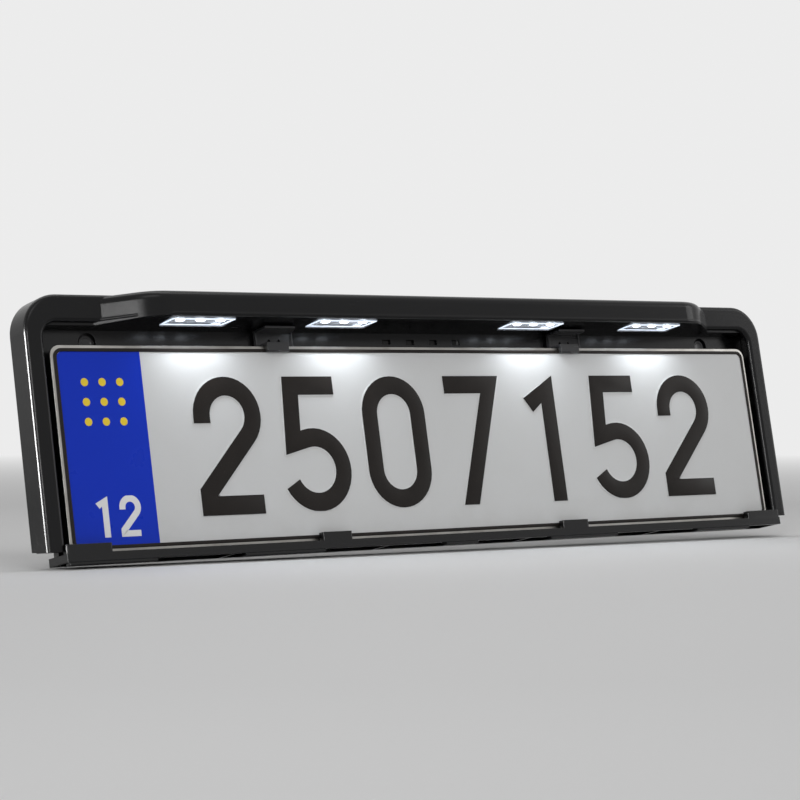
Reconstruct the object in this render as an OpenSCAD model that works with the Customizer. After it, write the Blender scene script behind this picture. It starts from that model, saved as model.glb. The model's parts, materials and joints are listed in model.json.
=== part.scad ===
// Lit number plate holder for a long single-line plate.
// X runs along the length, Y runs from the front (-Y) to the mounting plane at Y = 0, Z is up.
// The origin is the centre of the four slots on the mounting plane, behind the middle of the plate.

/* [Number plate] */
// Length of the plate
plate_w = 520; // [500:1:540]
// Height of the plate
plate_h = 114; // [105:1:125]
// Thickness of the aluminium sheet
plate_t = 1; // [0.8:0.1:1.5]
// Corner radius of the plate
plate_corner_r = 6; // [3:0.5:12]
// Distance from the plate's edge to its raised bead
bead_inset = 2.4; // [1.5:0.1:4]
// Width of the raised bead
bead_w = 1.8; // [1:0.1:3]
// Height of the raised bead over the sheet
bead_rise = 0.8; // [0.4:0.1:1.2]

/* [Seat of the plate] */
// Gap between the plate's ends and the legs of the cover
side_gap = 4; // [2:0.5:8]
// Gap between the plate's bottom edge and the rail
bottom_gap = 0.3; // [0.2:0.1:1]
// Height of the opening over the plate's top edge
top_gap = 12.5; // [12:0.5:16]
// Depth from the plate's front face to the mounting plane
seat_depth = 15; // [14:0.5:20]

/* [Cover] */
// Width of each leg, seen from the front
leg_w = 11; // [10:0.5:16]
// Height of the top bar over the opening
bar_h = 15.5; // [14:0.5:20]
// Distance that the cover's face stands in front of the plate
cover_proud = 3; // [2:0.5:5]
// Thickness of the cover's front wall
face_t = 3; // [2.8:0.1:3.5]
// Thickness of the other walls of the cover
wall = 2.5; // [2:0.1:2.8]
// Outer corner radius of the cover
corner_r = 21; // [16:1:28]
// Corner radius of the opening
opening_r = 9; // [7:0.5:12]
// Radius of the edges round the front face
edge_r = 2.6; // [1.5:0.1:2.7]
// Rise of the legs' bottom ends towards the back
leg_foot_rise = 2.6; // [1:0.2:5]

/* [Hood] */
// Distance along the face from the opening's end to the hood's end
hood_end_gap = 36.7; // [30:0.1:42]
// Turn of the hood's ends back towards the face, in degrees
hood_slant = 38; // [34:1:45]
// Distance that the hood stands in front of the plate
hood_reach = 21.6; // [20:0.2:24]
// Plan radius where the slanted ends meet the hood's front
hood_bend_r = 30; // [26:1:32]
// Radius of the hood's upper front edge
hood_top_r = 5; // [3:0.5:7]
// Step from the cover's top down to the hood's top
hood_drop = 0.7; // [0.3:0.1:1.5]
// Slope of the hood's underside, falling towards the back
soffit_tilt = 4.2; // [2:0.2:5]
// Thickness of the underside
soffit_t = 2.2; // [1.8:0.1:2.6]
// Radius of the rolled bead on the hood's lower front edge
roll_r = 1.5; // [1:0.1:2]

/* [Lamps] */
// Distance from the middle to the inner pair of lamps
lamp_inner_x = 71.7; // [60:0.1:75]
// Distance from the hood's bends to the outer pair of lamps
lamp_end_gap = 23.2; // [23:0.1:30]
// Length of a lens
lens_w = 42; // [36:1:46]
// Depth of a lens, front to back
lens_d = 16; // [13:0.5:17]
// Distance from the hood's front to the lens
lens_setback = 4.1; // [4:0.1:5]
// Distance that a lens stands below the underside
lens_proud = 0.4; // [0.2:0.1:0.8]
// Thickness of the clear pane
pane_t = 1.4; // [1:0.1:2]
// Height of a lamp's cap over the lens flange
cap_h = 7; // [6.4:0.2:8]
// Thickness of a lamp's circuit board
board_t = 1.2; // [0.8:0.1:1.6]
// Number of light-emitting chips on a board
chips = 3; // [1:1:5]

/* [Latches] */
// Distance from the middle to each latch
latch_x = 110; // [104:0.5:134]
// Width of a latch
latch_w = 25.5; // [22:0.5:30]
// Width of the hook over the plate's top edge
hook_w = 14.6; // [10:0.2:16]
// Sideways offset of the hook from the latch's middle
hook_offset = -3.8; // [-4.5:0.1:0]
// Overlap of the hook over the plate's face
hook_overlap = 3.8; // [2:0.1:5]
// Thickness of the hook in front of the plate
hook_t = 2.6; // [2:0.1:3.2]
// Distance from the plate's front face back to the latch's wall
latch_setback = 6; // [5:0.5:7]
// Length of the finger tab under the hood
tab_len = 14; // [10:0.5:16]

/* [Rail] */
// Distance that the rail and its lips stand in front of the plate
rail_proud = 6; // [5:0.5:8]
// Height of the rail
rail_h = 4.7; // [4:0.1:7]
// Height of the feet under the rail
foot_h = 1.5; // [0.8:0.1:2]
// Overlap of the lips over the plate's face
lip_overlap = 4.5; // [3:0.5:7]
// Width of the two inner lips
lip_w = 20.5; // [16:0.5:30]
// Distance from the middle to each inner lip
lip_x = 89.7; // [70:0.1:120]
// Width of the two end lips
end_lip_w = 28; // [20:0.5:34]

/* [Back panel] */
// Distance from the plate's front face to the panel
panel_recess = 9.5; // [9:0.5:10.5]
// Thickness of the panel and its flange
panel_t = 2.5; // [2.2:0.1:2.6]
// Corner radius of the raised panel
panel_corner_r = 14; // [10:1:18]
// Thickness of the ribs
rib_t = 2; // [1.5:0.1:2.5]
// Distance between the centres of the small slots over the plate
slot_pitch = 17.6; // [12:0.1:20]

/* [Fixings] */
// Distance between the mounting slots along the length
mount_span_x = 300; // [260:5:330]
// Distance between the mounting slots in height
mount_span_z = 50; // [40:1:56]
// Radius of the mounting slots' ends
mount_slot_r = 3; // [2.5:0.1:3.5]
// Length of the mounting slots from end to end
mount_slot_len = 16; // [10:1:20]
// Distance from the panel's ends to the upper screw holes
upper_hole_inset = 31; // [26:0.5:40]
// Radius of the upper screw holes
upper_hole_r = 2.75; // [2:0.05:3]
// Radius of the recess for the upper screws' heads
upper_recess_r = 5.5; // [5:0.1:6]
// Radius of the shank of the screws that hold the cover
screw_r = 1.4; // [1.2:0.1:1.6]
// Radius of the screws' heads
screw_head_r = 2.8; // [2.4:0.1:3]
// Radius of the bore through the cable grommet
inlet_r = 2.2; // [1.5:0.1:3]

/* [Hidden] */
$fn = 48;
// Clearance between pieces that seat in each other
fit = 0.3;
// Smaller clearance for pieces that click or press into place
close_fit = 0.1;
// Overlap that keeps joined shapes one solid
lap = 0.01;
// Extra length of a cut past the surface that it opens
past = 1;

// Planes along Y
plate_y = -seat_depth;
cover_y = plate_y - cover_proud;
cover_back_y = cover_y + face_t;
hood_y = plate_y - hood_reach;
rail_y = plate_y - rail_proud;
panel_y = plate_y + panel_recess;
flange_y = -panel_t;
latch_y = plate_y + latch_setback;

// Heights and half widths
plate_top = plate_h / 2;
opening_half = plate_w / 2 + side_gap;
opening_top = plate_top + top_gap;
cover_half = opening_half + leg_w;
cover_top = opening_top + bar_h;
hood_top = cover_top - hood_drop;
rail_top = -plate_top - bottom_gap;
rail_bottom = rail_top - rail_h;
rail_half = opening_half + edge_r / 2;
leg_bottom = rail_top + fit;
panel_half = opening_half - 2;
panel_top = opening_top + 1;
lip_top = -plate_top + lip_overlap;

// Centres of the cover's round corners
corner_x = cover_half - corner_r;
corner_z = cover_top - corner_r;
opening_x = opening_half - opening_r;
opening_z = opening_top - opening_r;
strip = corner_r / 3;

// Plan of the hood: a straight front between two bends, and slanted ends that run into the face
half_turn = tan(hood_slant / 2);
hood_half_w = opening_half - hood_end_gap;
bend_x = hood_half_w - (cover_y - hood_y) / tan(hood_slant) - hood_bend_r * half_turn;
bend_y = hood_y + hood_bend_r;
slant_len = (cover_back_y + past - hood_y) / sin(hood_slant) - hood_bend_r * half_turn;
hood_core_r = (bend_y - cover_back_y) / 2;
hood_skirt = 5;
hood_low = opening_top - hood_skirt;

// The underside falls from the hood's front edge to the panel
soffit_front_z = opening_top + 0.1;
soffit_end_y = panel_y - fit;
roll_proud = 0.3;
function soffit_z(y) = soffit_front_z - tan(soffit_tilt) * (y - hood_y);

// Lamps, each in a frame that lies on the underside
lamp_outer_x = bend_x - lamp_end_gap;
lamp_xs = [-lamp_outer_x, -lamp_inner_x, lamp_inner_x, lamp_outer_x];
lens_y = hood_y + lens_setback + lens_d / 2;
lens_corner_r = 1.5;
lens_wall = 1.5;
flange_side = 2;
flange_front = 1.2;
flange_t = 1.4;
lamp_w = lens_w + 2 * flange_side;
lamp_d = lens_d + 2 * flange_front;
cap_z = soffit_t + flange_t;
cap_wall = 1.5;
cap_roof = 1.5;
cap_inner_r = 0.8;
board_gap = 0.2;
board_drop = 2;
board_z = cap_z + cap_h - cap_roof - board_t - board_drop;
chip_size = [3.5, 2.8, 0.9];

// Screws that hold the cover to the carrier
boss_r = 3.6;
leg_screw_x = cover_half - wall - boss_r - fit;
leg_screw_zs = [-38, 22];
hood_screw_gap = 10.8;
hood_screw_xs = [(lamp_inner_x + lamp_outer_x) / 2, bend_x + hood_screw_gap];
hood_screw_drop = 5;
hood_screw_z = hood_top - wall - hood_screw_drop;
screw_len = 9;
screw_sink = 1.5;
screw_gap = 0.05;
screw_hole_gap = 0.2;
drive_size = [2.8, 0.6, 0.9];
boss_end_y = flange_y - fit;

// Snap latches and the pegs that hold them in the panel
latch_wall = 1.8;
latch_top = soffit_z(latch_y) - fit;
latch_low = plate_top + 0.8;
latch_rim = [1, 0.8];
window = [2.4, 3.8];
window_x = 3.4;
window_z = latch_low + 1.2;
tab_t = 1.3;
tab_flare = 1.5;
tab_cut = 6.5;
peg_x = 7;
peg_z = plate_top + 5.5;
peg_size = [5, 3.4];
peg_pad = [7, 4.2];
peg_end_y = -1.2;
barb_drop = 0.8;
hook_lead = 0.8;

// Ribs and bosses of the carrier
rest_inset = 19.4;
rest_z = plate_top - rest_inset;
rest_end_gap = 22;
rest_xs = [60, 116, 184, panel_half - rest_end_gap];
rest_gap = 0.2;
back_rib_xs = [30, 85, 205];
back_rib_zs = [-45, 0, 45];
mount_rim = 3;
vent_size = [6, 3];
vent_z = plate_top + 5;
upper_hole_x = panel_half - upper_hole_inset;
upper_hole_z = plate_top + 3.5;
upper_rim = 2.5;

// Rail: top web, cross ribs, lips, and feet as pairs of middle and width
rail_web = 2.2;
rail_bays = 5;
lip_r = 1.2;
lip_lead = 1.2;
foot_depth = 4.4;
foot_w = 54;
foot_gap_left = 28.3;
foot_gap_right = 51.3;
inner_feet = [[-126, foot_w], [0, 24], [96, foot_w]];
feet = concat([[foot_gap_left - rail_half, foot_w], [rail_half - foot_gap_right, 46]], inner_feet);

// Cable inlet
inlet_neck_r = inlet_r + 2;
inlet_flange_r = inlet_neck_r + 1.2;
inlet_flange_t = 1.5;

// A rectangle centred on the origin with round corners
module rounded_rect(w, h, r) {
    square([w - 2 * r, h], center = true);
    square([w, h - 2 * r], center = true);
    for (sx = [-1, 1], sy = [-1, 1])
        translate([sx * (w / 2 - r), sy * (h / 2 - r)]) circle(r);
}

// An upright sheet: a flat shape drawn in X and Z, from y0 to y1
module sheet(y0, y1) {
    translate([0, y1, 0]) rotate([90, 0, 0]) linear_extrude(y1 - y0) children();
}

// A box given by its low and high corners
module block(low, high) {
    translate(low) cube(high - low);
}

// Both of a left and right pair
module pair() {
    children();
    mirror([1, 0, 0]) children();
}

// An area under a round-cornered top, down to z_low
module arch(half, top, r, z_low) {
    translate([-half, z_low]) square([2 * half, top - r - z_low]);
    translate([-half + r, top - 2 * r]) square([2 * (half - r), 2 * r]);
    for (s = [-1, 1]) translate([s * (half - r), top - r]) circle(r);
}

// A section swept up one leg, round the corners, along the top and down the other leg.
// In the section X is the distance from the corner's centre and Y is the depth behind the face.
module arch_sweep(cx, cz, z_low) {
    pair() {
        translate([cx, cover_y, z_low]) linear_extrude(cz - z_low) children();
        translate([cx, cover_y, cz]) rotate([-90, 0, 0]) rotate([0, 0, -90])
            rotate_extrude(angle = 90) children();
    }
    translate([cx, cover_y, cz]) rotate([0, -90, 0]) linear_extrude(2 * cx) children();
}

// Outer edge of the cover: a rounded front edge and the wall behind it
module outer_section() {
    round_x = corner_r - edge_r;
    wall_x = corner_r - wall;
    intersection() {
        translate([round_x, edge_r]) circle(edge_r);
        translate([round_x, 0]) square(edge_r);
    }
    polygon([[corner_r - strip, 0], [round_x, 0], [round_x, edge_r], [corner_r, edge_r],
        [corner_r, -cover_y], [wall_x, -cover_y], [wall_x, face_t], [corner_r - strip, face_t]]);
}

// Inner edge of the cover's face, rounded towards the front
module inner_section() {
    intersection() {
        translate([opening_r + edge_r, edge_r]) circle(edge_r);
        translate([opening_r, 0]) square(edge_r);
    }
    round_x = opening_r + edge_r;
    polygon([[round_x, 0], [opening_r + strip, 0], [opening_r + strip, face_t], [opening_r, face_t],
        [opening_r, edge_r], [round_x, edge_r]]);
}

// A section swept along the hood's front and slanted ends.
// In the section X is the distance in front of the bend's centre line and Y is the height.
module hood_sweep() {
    translate([bend_x, bend_y, 0]) rotate([90, 0, -90]) linear_extrude(2 * bend_x) children();
    pair() {
        translate([bend_x, bend_y, 0]) rotate([0, 0, -90]) rotate_extrude(angle = hood_slant) children();
        translate([bend_x + slant_len * cos(hood_slant), bend_y + slant_len * sin(hood_slant), 0])
            rotate([90, 0, hood_slant - 90]) linear_extrude(slant_len) children();
    }
}

// Section of the hood from near the bend's centre line out to its round upper edge, drawn in by inset
module hood_section(inset) {
    r = hood_top_r - inset;
    round_x = hood_bend_r - hood_top_r;
    round_z = hood_top - hood_top_r;
    polygon([[hood_core_r, hood_low], [round_x + r, hood_low], [round_x + r, round_z],
        [round_x, round_z], [round_x, round_z + r], [hood_core_r, round_z + r]]);
    intersection() {
        translate([round_x, round_z]) circle(r);
        translate([round_x, round_z]) square(r);
    }
}

module hood_solid(inset, y_end) {
    intersection() {
        hood_sweep() hood_section(inset);
        block([-cover_half, hood_y - past, hood_low], [cover_half, y_end, cover_top]);
    }
}

// Everything above a plane that is the given height over the underside
module above_soffit(rise) {
    translate([0, hood_y, soffit_front_z]) rotate([-soffit_tilt, 0, 0])
        translate([-cover_half, -past, rise]) cube([2 * cover_half, -hood_y, cover_top - hood_low]);
}

// A frame on the underside at one lamp: Z = 0 is the lower face and Z points into the hood
module at_lamp(i) {
    translate([lamp_xs[i], lens_y, soffit_z(lens_y)]) rotate([-soffit_tilt, 0, 0]) children();
}

module lamp_block(w, d, r, z0, z1) {
    translate([0, 0, z0]) linear_extrude(z1 - z0) rounded_rect(w, d, r);
}

module leg_screws() {
    for (z = leg_screw_zs) pair() translate([leg_screw_x, 0, z]) children();
}

module hood_screws() {
    for (x = hood_screw_xs) pair() translate([x, 0, hood_screw_z]) children();
}

// A round bar along Y from y0 to y1
module bar(r, y0, y1) {
    translate([0, y0, 0]) rotate([-90, 0, 0]) cylinder(r = r, h = y1 - y0);
}

// Walls of the cover and the hood before the inside is cleared
module cover_shell() {
    arch_sweep(corner_x, corner_z, leg_bottom) outer_section();
    arch_sweep(opening_x, opening_z, leg_bottom) inner_section();
    sheet(cover_y, cover_back_y) difference() {
        inner = strip - lap;
        arch(cover_half - inner, cover_top - inner, corner_r - inner, leg_bottom);
        arch(opening_half + edge_r, opening_top + edge_r, opening_r + edge_r, leg_bottom - past);
    }
    intersection() {
        hood_solid(0, cover_back_y);
        above_soffit(0);
    }
}

// Space inside the hood for the lamps and their wiring
module cover_cavity() {
    intersection() {
        hood_solid(wall, cover_back_y + past / 2);
        above_soffit(soffit_t);
    }
}

// Underside over the plate, from the hood's front to the panel
module soffit() {
    intersection() {
        difference() {
            above_soffit(0);
            above_soffit(soffit_t);
        }
        union() {
            hood_solid(wall / 2, cover_back_y);
            block([-opening_half, cover_back_y - lap, hood_low], [opening_half, soffit_end_y, cover_top]);
        }
    }
}

// Rolled bead on the hood's lower front edge
module roll() {
    hood_sweep() translate([hood_bend_r - roll_r + roll_proud, soffit_front_z + roll_r - roll_proud])
        circle(roll_r);
}

// Posts that take the screws from behind, each with a rib to the nearest outer wall
module cover_posts() {
    half = rib_t / 2;
    leg_screws() {
        bar(boss_r, cover_back_y - lap, boss_end_y);
        block([0, cover_back_y - lap, -half], [cover_half - wall / 2 - leg_screw_x, boss_end_y, half]);
    }
    hood_screws() {
        bar(boss_r, cover_y, boss_end_y);
        block([-half, cover_y, 0], [half, boss_end_y, cover_top - wall / 2 - hood_screw_z]);
    }
}

module cover() {
    color([0.05, 0.05, 0.055]) difference() {
        union() {
            difference() {
                cover_shell();
                cover_cavity();
            }
            soffit();
            roll();
            cover_posts();
        }
        for (i = [0:3]) at_lamp(i)
            lamp_block(lens_w + fit, lens_d + fit, lens_corner_r, -past, soffit_t + past);
        leg_screws() bar(screw_r, boss_end_y - screw_len, past);
        hood_screws() bar(screw_r, boss_end_y - screw_len, past);
        pair() block([opening_half - past, cover_y - past, leg_bottom - past],
            [rail_half + fit, cover_back_y + past, lip_top + fit]);
        translate([-cover_half - past, cover_y, leg_bottom - hood_top])
            rotate([atan(leg_foot_rise / -cover_y), 0, 0])
            cube([2 * (cover_half + past), 2 * -cover_y, hood_top]);
    }
}

// Outline of the raised panel, down to the rail
module panel_outline(inset) {
    arch(panel_half - inset, panel_top - inset, panel_corner_r - inset, rail_top - lap);
}

// Outline of the whole back, inside the cover's walls
module back_outline() {
    r = corner_r - wall - fit;
    arch(cover_half - wall - fit, cover_top - wall - fit, r, leg_bottom + leg_foot_rise + fit);
}

module vent_places() {
    for (i = [-1.5:1:1.5]) translate([i * slot_pitch, vent_z]) children();
}

module mount_places() {
    for (sx = [-1, 1], sz = [-1, 1])
        translate([sx * mount_span_x / 2, sz * mount_span_z / 2]) children();
}

// A straight slot with round ends along X
module mount_slot(r, len) {
    square([len - 2 * r, 2 * r], center = true);
    for (s = [-1, 1]) translate([s * (len / 2 - r), 0]) circle(r);
}

module upper_holes() {
    pair() translate([upper_hole_x, 0, upper_hole_z]) children();
}

// Ribs that carry the back of the plate, all hidden behind it
module plate_rests() {
    front = plate_y + plate_t + rest_gap;
    back = panel_y + lap;
    half = rib_t / 2;
    end = rest_xs[len(rest_xs) - 1];
    for (s = [-1, 1]) block([-end, front, s * rest_z - half], [end, back, s * rest_z + half]);
    for (x = rest_xs) pair() block([x - half, front, -rest_z], [x + half, back, rest_z]);
}

// Ribs and bosses on the back, up to the mounting plane
module back_ribs() {
    inner_y = panel_y + panel_t - lap;
    half = rib_t / 2;
    for (x = back_rib_xs) pair() block([x - half, inner_y, rail_top], [x + half, 0, panel_top - past]);
    for (z = back_rib_zs)
        block([past - panel_half, inner_y, z - half], [panel_half - past, 0, z + half]);
    sheet(inner_y, 0) mount_places() mount_slot(mount_slot_r + mount_rim, mount_slot_len + 2 * mount_rim);
    upper_holes() bar(upper_recess_r + upper_rim, inner_y, 0);
}

// A lip over the plate's bottom edge with a bevelled lead at its upper front edge
module lip(x, w) {
    depth = plate_y - bead_rise - rest_gap - rail_y;
    difference() {
        translate([x, rail_y + depth / 2, rail_top - lap]) linear_extrude(lip_top - rail_top + lap)
            rounded_rect(w, depth, lip_r);
        translate([x - w, rail_y, lip_top - lip_lead]) rotate([45, 0, 0]) translate([0, -depth, 0])
            cube([2 * w, depth, depth]);
    }
}

module rail() {
    block([-rail_half, rail_y, rail_top - rail_web], [rail_half, 0, rail_top]);
    block([-rail_half, rail_y, rail_bottom], [rail_half, rail_y + wall, rail_top]);
    block([-rail_half, -wall, rail_bottom], [rail_half, 0, rail_top]);
    for (i = [0:rail_bays]) pair() {
        place = min(i * rail_half / rail_bays, rail_half - rib_t / 2);
        block([place - rib_t / 2, rail_y + wall / 2, rail_bottom], [place + rib_t / 2, -wall / 2, rail_top]);
    }
    for (f = feet)
        block([f[0] - f[1] / 2, rail_y + wall / 4, rail_bottom - foot_h],
            [f[0] + f[1] / 2, rail_y + wall / 4 + foot_depth, rail_bottom + past]);
    for (s = [-1, 1]) {
        lip(s * lip_x, lip_w);
        lip(s * (rail_half - end_lip_w / 2), end_lip_w);
    }
}

module carrier() {
    color([0.07, 0.07, 0.075]) difference() {
        union() {
            sheet(panel_y, panel_y + panel_t) panel_outline(0);
            sheet(panel_y, 0) difference() {
                panel_outline(0);
                panel_outline(wall);
            }
            sheet(flange_y, 0) difference() {
                back_outline();
                panel_outline(lap);
            }
            rail();
            plate_rests();
            back_ribs();
        }
        sheet(panel_y - past, past) mount_places() mount_slot(mount_slot_r, mount_slot_len);
        sheet(panel_y - past, past) vent_places() square(vent_size, center = true);
        upper_holes() {
            bar(upper_hole_r, panel_y - past, past);
            bar(upper_recess_r, panel_y - past, panel_y + panel_t);
        }
        sheet(panel_y - past, past) for (s = [-1, 1]) translate([s * latch_x, 0])
            peg_places() square(peg_size + [fit, fit], center = true);
        leg_screws() screw_hole();
        hood_screws() screw_hole();
        translate([0, 0, hood_screw_z]) bar(inlet_neck_r, flange_y - past, past);
    }
}

// A countersunk hole through the flange
module screw_hole() {
    r = screw_r + screw_hole_gap;
    sink = screw_sink + close_fit;
    bar(r, flange_y - past, past);
    translate([0, -sink, 0]) rotate([-90, 0, 0]) cylinder(r1 = r, r2 = screw_head_r + fit, h = sink + lap);
}

module screw() {
    bar(screw_r - screw_gap, boss_end_y - screw_len + past, lap - screw_sink);
    difference() {
        translate([0, -screw_sink, 0]) rotate([-90, 0, 0])
            cylinder(r1 = screw_r, r2 = screw_head_r, h = screw_sink - close_fit);
        for (a = [0, 90]) rotate([0, a, 0])
            block([-drive_size[0] / 2, -drive_size[2], -drive_size[1] / 2],
                [drive_size[0] / 2, past, drive_size[1] / 2]);
    }
}

module cover_screws() {
    color([0.6, 0.6, 0.62]) {
        leg_screws() screw();
        hood_screws() screw();
    }
}

module cable_grommet() {
    color([0.12, 0.12, 0.12]) translate([0, 0, hood_screw_z]) difference() {
        union() {
            bar(inlet_neck_r, flange_y - lap, -close_fit);
            bar(inlet_flange_r, flange_y - inlet_flange_t, flange_y);
        }
        bar(inlet_r, flange_y - inlet_flange_t - past, past);
    }
}

module number_plate() {
    color([0.86, 0.87, 0.88]) sheet(plate_y, plate_y + plate_t)
        rounded_rect(plate_w, plate_h, plate_corner_r);
    outer = bead_inset;
    inner = bead_inset + bead_w;
    color([0.1, 0.1, 0.1]) sheet(plate_y - bead_rise, plate_y + lap) difference() {
        rounded_rect(plate_w - 2 * outer, plate_h - 2 * outer, plate_corner_r - 1);
        rounded_rect(plate_w - 2 * inner, plate_h - 2 * inner, plate_corner_r - 1.5);
    }
}

module peg_places() {
    for (s = [-1, 1]) translate([s * peg_x, peg_z]) children();
}

// Springy wall of a latch with two windows between its slanted struts, and a rim down each side
module latch_web() {
    half = latch_w / 2;
    back = latch_y + latch_wall;
    difference() {
        block([-half, latch_y, latch_low], [half, back, latch_top]);
        sheet(latch_y - past, back + past) for (s = [-1, 1]) translate([s * window_x, window_z])
            polygon([[-window[0], 0], [window[0], 0], [0, window[1]]]);
    }
    for (s = [-1, 1]) translate([s * (half - latch_rim[0] / 2), 0, 0])
        block([-latch_rim[0] / 2, latch_y - latch_rim[1], latch_low],
            [latch_rim[0] / 2, latch_y + lap, latch_top]);
}

// Finger tab, cut back on the side away from the hook
module latch_tab() {
    half = latch_w / 2;
    front = latch_y - tab_len;
    translate([0, 0, latch_top - tab_t]) linear_extrude(tab_t)
        polygon([[-half, latch_y + latch_wall], [-half, latch_y], [-half - tab_flare, front],
            [half - tab_cut, front], [half, latch_y], [half, latch_y + latch_wall]]);
}

// Hook over the plate's top edge: an arm above the edge and a lip in front of the plate
module latch_hook() {
    half = hook_w / 2;
    back = plate_y - bead_rise - rest_gap;
    low = plate_top - hook_overlap;
    translate([hook_offset, 0, 0]) difference() {
        union() {
            block([-half, back - hook_t, plate_top + fit], [half, latch_y + lap, latch_low + 1]);
            block([-half, back - hook_t, low], [half, back, latch_low + 1]);
        }
        translate([-hook_w, back - hook_t, low]) rotate([45, 0, 0])
            cube([2 * hook_w, hook_lead * sqrt(2), hook_lead * sqrt(2)], center = true);
    }
}

module latch_pegs() {
    sheet(latch_y + latch_wall - lap, panel_y) peg_places() square(peg_pad, center = true);
    sheet(panel_y - lap, peg_end_y) peg_places() square(peg_size, center = true);
    sheet(panel_y + panel_t + close_fit, peg_end_y) peg_places()
        translate([0, -peg_size[1] / 2]) square([peg_size[0], 2 * barb_drop], center = true);
}

module latch() {
    color([0.09, 0.09, 0.1]) {
        latch_web();
        latch_tab();
        latch_hook();
        latch_pegs();
    }
}

module lamp_lens(i) {
    color([0.9, 0.95, 1, 0.5]) at_lamp(i) difference() {
        union() {
            lamp_block(lens_w, lens_d, lens_corner_r, -lens_proud, soffit_t + lap);
            lamp_block(lamp_w, lamp_d, lens_corner_r, soffit_t, cap_z);
        }
        lamp_block(lens_w - 2 * lens_wall, lens_d - 2 * lens_wall, cap_inner_r,
            pane_t - lens_proud, cap_z + past);
    }
}

module lamp_cap(i) {
    color([0.15, 0.15, 0.16]) at_lamp(i) difference() {
        lamp_block(lamp_w, lamp_d, lens_corner_r, cap_z, cap_z + cap_h);
        lamp_block(lamp_w - 2 * cap_wall, lamp_d - 2 * cap_wall, cap_inner_r,
            cap_z - past, board_z + board_t);
        lamp_block(lamp_w - 4 * cap_wall, lamp_d - 4 * cap_wall, cap_inner_r,
            cap_z - past, cap_z + cap_h - cap_roof);
    }
}

module lamp_board(i) {
    color([0.9, 0.92, 0.9]) at_lamp(i)
        lamp_block(lamp_w - 2 * cap_wall - board_gap, lamp_d - 2 * cap_wall - board_gap,
            cap_inner_r - board_gap / 2, board_z, board_z + board_t);
}

module lamp_chips(i) {
    pitch = (lens_w - 2 * lens_wall) / chips;
    color([0.98, 0.95, 0.75]) at_lamp(i) for (k = [0:chips - 1])
        translate([(k - (chips - 1) / 2) * pitch, 0, board_z - chip_size[2] / 2])
            cube(chip_size, center = true);
}

cover();
carrier();
number_plate();
translate([-latch_x, 0, 0]) latch();  // latch_left
translate([latch_x, 0, 0]) latch();  // latch_right
lamp_lens(0);  // lamp_1_lens
lamp_lens(1);  // lamp_2_lens
lamp_lens(2);  // lamp_3_lens
lamp_lens(3);  // lamp_4_lens
lamp_cap(0);  // lamp_1_cap
lamp_cap(1);  // lamp_2_cap
lamp_cap(2);  // lamp_3_cap
lamp_cap(3);  // lamp_4_cap
lamp_board(0);  // lamp_1_board
lamp_board(1);  // lamp_2_board
lamp_board(2);  // lamp_3_board
lamp_board(3);  // lamp_4_board
lamp_chips(0);  // lamp_1_chips
lamp_chips(1);  // lamp_2_chips
lamp_chips(2);  // lamp_3_chips
lamp_chips(3);  // lamp_4_chips
cover_screws();
cable_grommet();
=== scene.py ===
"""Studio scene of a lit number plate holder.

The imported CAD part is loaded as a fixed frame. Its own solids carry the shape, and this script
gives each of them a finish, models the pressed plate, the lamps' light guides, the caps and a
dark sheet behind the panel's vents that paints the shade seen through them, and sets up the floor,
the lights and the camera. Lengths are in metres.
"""

import json
import logging
import math
from contextlib import contextmanager
from dataclasses import dataclass
from enum import Enum
from typing import Callable, Iterator, Sequence

import bmesh
import bpy
from mathutils import Matrix, Vector

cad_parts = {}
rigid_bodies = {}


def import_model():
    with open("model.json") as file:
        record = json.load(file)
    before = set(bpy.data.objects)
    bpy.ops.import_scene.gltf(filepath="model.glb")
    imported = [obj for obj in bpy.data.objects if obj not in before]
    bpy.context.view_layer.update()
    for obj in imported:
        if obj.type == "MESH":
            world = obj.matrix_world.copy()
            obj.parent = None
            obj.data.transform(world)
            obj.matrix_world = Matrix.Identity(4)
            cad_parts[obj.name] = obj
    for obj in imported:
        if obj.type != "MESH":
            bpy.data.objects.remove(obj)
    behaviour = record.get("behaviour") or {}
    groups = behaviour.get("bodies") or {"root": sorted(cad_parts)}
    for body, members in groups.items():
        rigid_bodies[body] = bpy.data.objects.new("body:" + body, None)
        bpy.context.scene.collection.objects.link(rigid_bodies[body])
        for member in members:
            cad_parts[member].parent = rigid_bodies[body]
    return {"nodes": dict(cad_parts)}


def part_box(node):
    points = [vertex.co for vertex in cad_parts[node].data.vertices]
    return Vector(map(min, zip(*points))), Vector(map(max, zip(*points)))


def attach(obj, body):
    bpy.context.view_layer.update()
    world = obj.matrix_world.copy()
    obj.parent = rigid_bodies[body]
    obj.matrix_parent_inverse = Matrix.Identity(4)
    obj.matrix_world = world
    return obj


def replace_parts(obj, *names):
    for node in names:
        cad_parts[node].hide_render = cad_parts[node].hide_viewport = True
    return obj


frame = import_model()
NODES: dict[str, bpy.types.Object] = frame["nodes"]
log = logging.getLogger("plate_holder")

MM = 0.001
HALF_HEIGHT = 39.4  # half a numeral's height, with the pen's width, in millimetres
TOUCH = 1e-6  # points nearer than this count as one
Colour = tuple[float, float, float]
Point2 = tuple[float, float]


# --- Shader nodes ---


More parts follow.
